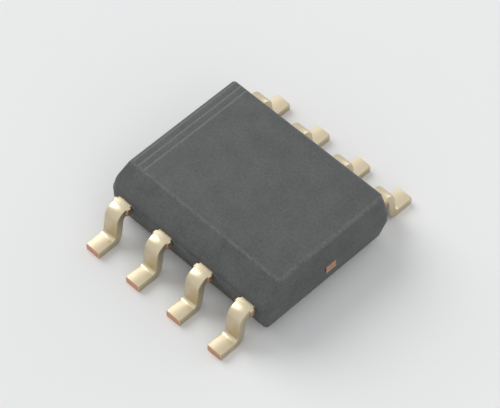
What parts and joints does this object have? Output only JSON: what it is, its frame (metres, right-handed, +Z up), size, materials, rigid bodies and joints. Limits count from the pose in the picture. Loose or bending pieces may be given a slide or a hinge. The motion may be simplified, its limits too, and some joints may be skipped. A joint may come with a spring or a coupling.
{
  "type": "soic chip",
  "caption": "Small-outline integrated circuit: dark moulded body with gull-wing leads along both sides, and the die, die pad and bond wires inside.",
  "frame": {"origin": "on the circuit board's surface, under the middle of the package", "axes": "+X along the lead rows, from pin 1 towards pin 4; +Y across the body, from the row of pins 1 to 4 to the row of pins 5 to 8; +Z up from the board"},
  "size_m": [0.005, 0.006, 0.0016],
  "materials": {
    "mould_compound": "fine matte, as moulded from silica-filled epoxy",
    "lead_finish": "satin, thin palladium and gold plating over copper",
    "die_glue": "silver-filled epoxy",
    "silicon": "polished silicon with a fine circuit pattern",
    "bond_gold": "bright drawn gold"
  },
  "bodies": {
    "root": {"mould_body": "mould_compound", "lead_1": "lead_finish", "lead_2": "lead_finish", "lead_3": "lead_finish", "lead_4": "lead_finish", "lead_5": "lead_finish", "lead_6": "lead_finish", "lead_7": "lead_finish", "lead_8": "lead_finish", "die_pad": "lead_finish", "die_glue": "die_glue", "die": "silicon", "bond_wire_1": "bond_gold", "bond_wire_2": "bond_gold", "bond_wire_3": "bond_gold", "bond_wire_4": "bond_gold", "bond_wire_5": "bond_gold", "bond_wire_6": "bond_gold", "bond_wire_7": "bond_gold", "bond_wire_8": "bond_gold"}
  },
  "joints": []
}
